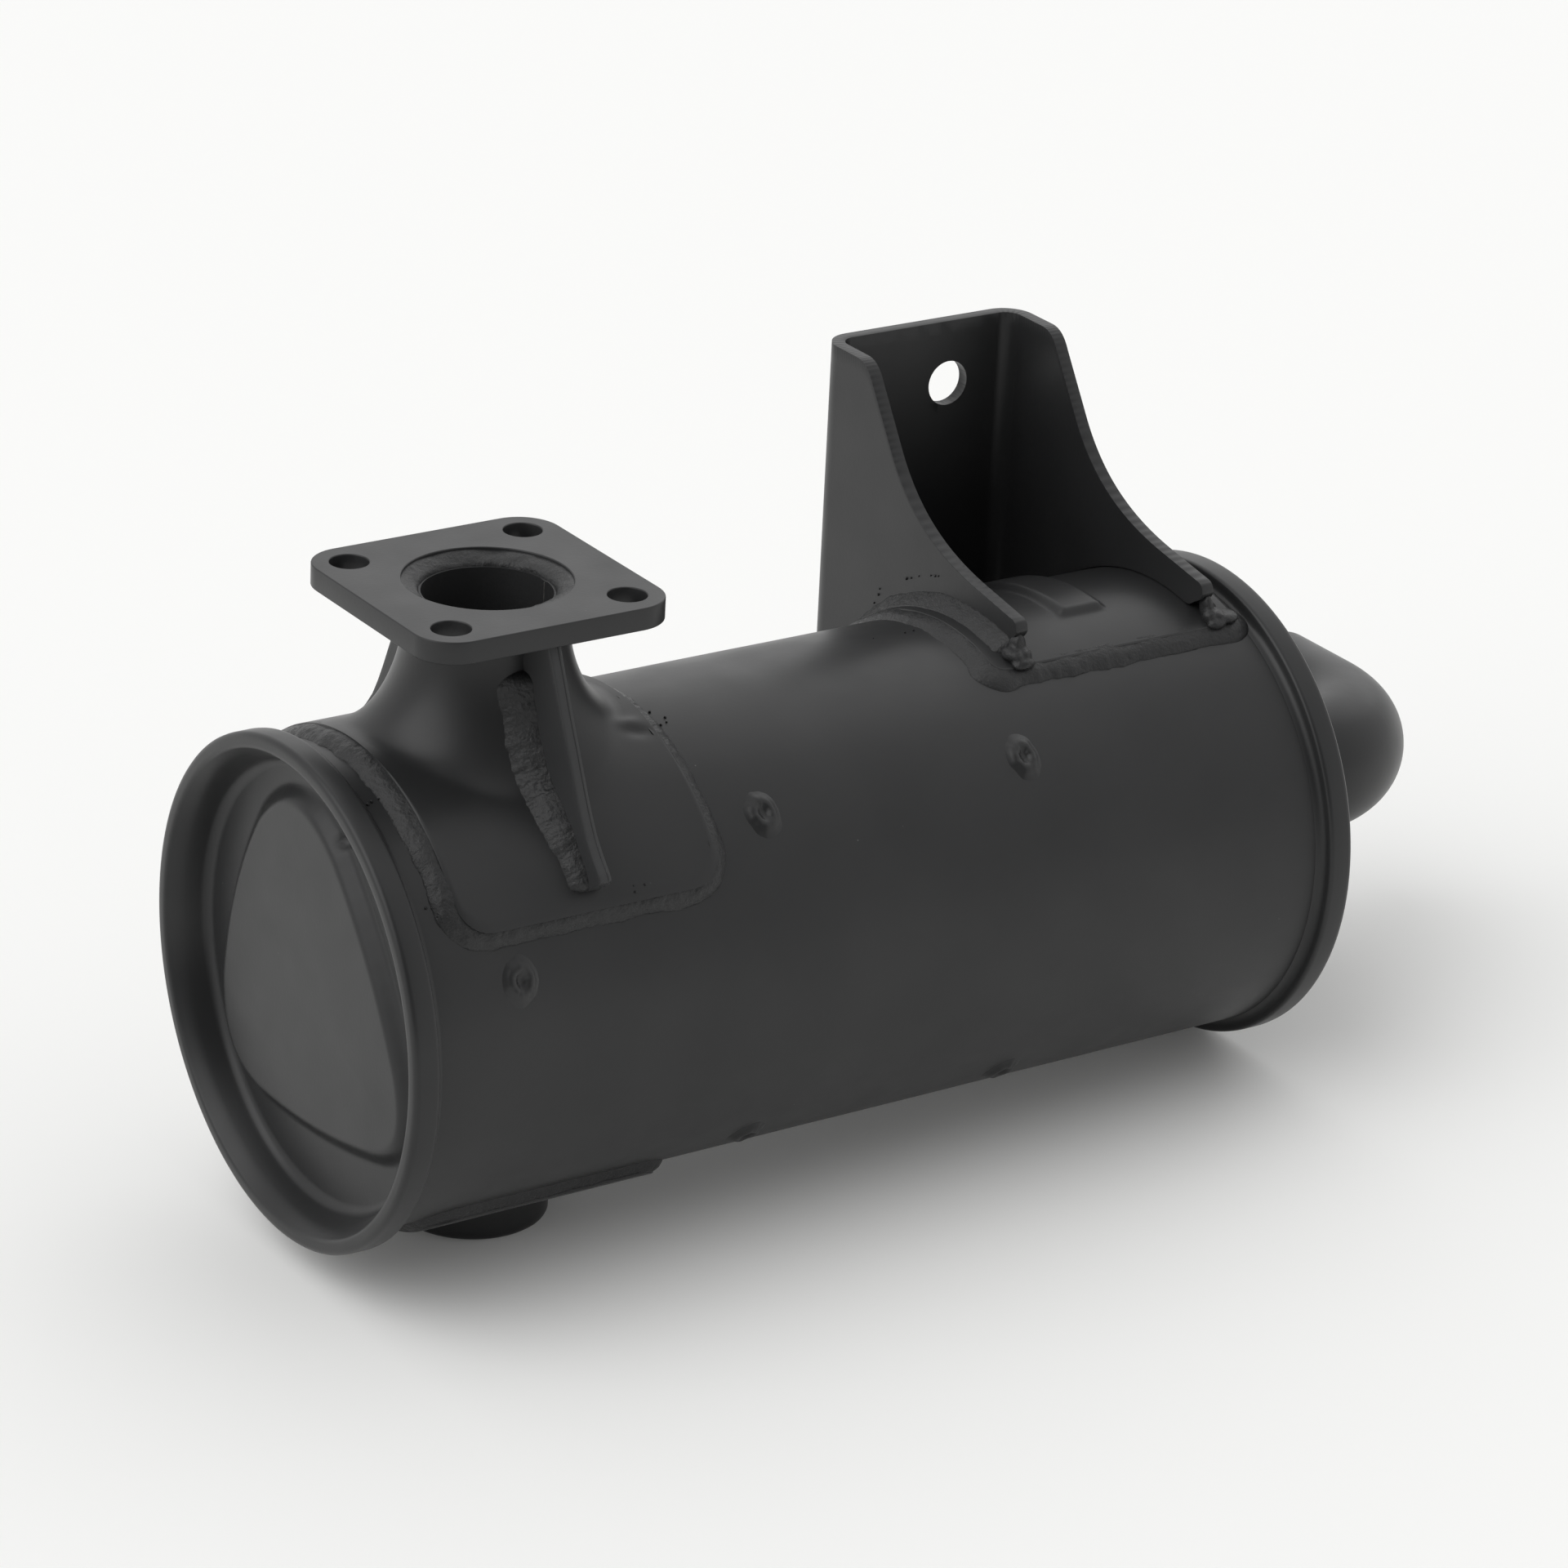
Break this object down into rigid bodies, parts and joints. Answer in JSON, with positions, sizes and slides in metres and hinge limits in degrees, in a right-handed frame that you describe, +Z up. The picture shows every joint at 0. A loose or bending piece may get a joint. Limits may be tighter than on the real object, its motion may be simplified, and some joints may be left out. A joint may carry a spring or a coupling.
{
  "type": "engine exhaust silencer",
  "caption": "Welded black drum silencer with a square bolted inlet flange on a flared, gusseted neck, a folded hanger bracket and a turned-out tail pipe.",
  "frame": {"origin": "middle of the bottom of the part's bounding box, level with the flat foot under the inlet", "axes": "+X along the drum toward the tail pipe, +Y toward the back where the hanger bracket and the pipe mouth are, +Z up through the inlet flange"},
  "size_m": [0.4066, 0.1582, 0.214],
  "materials": {
    "black_paint": "satin heat-resistant black paint on sheet steel",
    "weld_paint": "the same black paint over rough weld beads",
    "inner_steel": "bare mild steel inside the drum"
  },
  "bodies": {
    "root": {"shell": "black_paint", "front_end_cap": "black_paint", "rear_end_cap": "black_paint", "inlet_flange": "black_paint", "inlet_tube": "inner_steel", "flange_weld": "weld_paint", "inlet_saddle": "black_paint", "saddle_weld": "weld_paint", "gusset_front": "black_paint", "gusset_rear": "black_paint", "gusset_weld_front_left": "weld_paint", "gusset_weld_front_right": "weld_paint", "gusset_weld_rear_left": "weld_paint", "gusset_weld_rear_right": "weld_paint", "bottom_plate": "black_paint", "bottom_plate_weld": "weld_paint", "foot_cap": "black_paint", "bracket_doubler": "black_paint", "doubler_weld": "weld_paint", "mounting_bracket": "black_paint", "bracket_weld_left": "weld_paint", "bracket_weld_right": "weld_paint", "bracket_nose_weld_left": "weld_paint", "bracket_nose_weld_right": "weld_paint", "baffle_inlet": "inner_steel", "baffle_front": "inner_steel", "baffle_rear": "inner_steel", "crossover_tube_front": "inner_steel", "crossover_tube_rear": "inner_steel", "tail_pipe": "black_paint", "tail_pipe_weld": "weld_paint", "plug_weld_inlet_front": "weld_paint", "plug_weld_inlet_rear": "weld_paint", "plug_weld_front_a": "weld_paint", "plug_weld_front_b": "weld_paint", "plug_weld_front_c": "weld_paint", "plug_weld_front_d": "weld_paint", "plug_weld_rear_a": "weld_paint", "plug_weld_rear_b": "weld_paint", "plug_weld_rear_c": "weld_paint"}
  },
  "joints": []
}
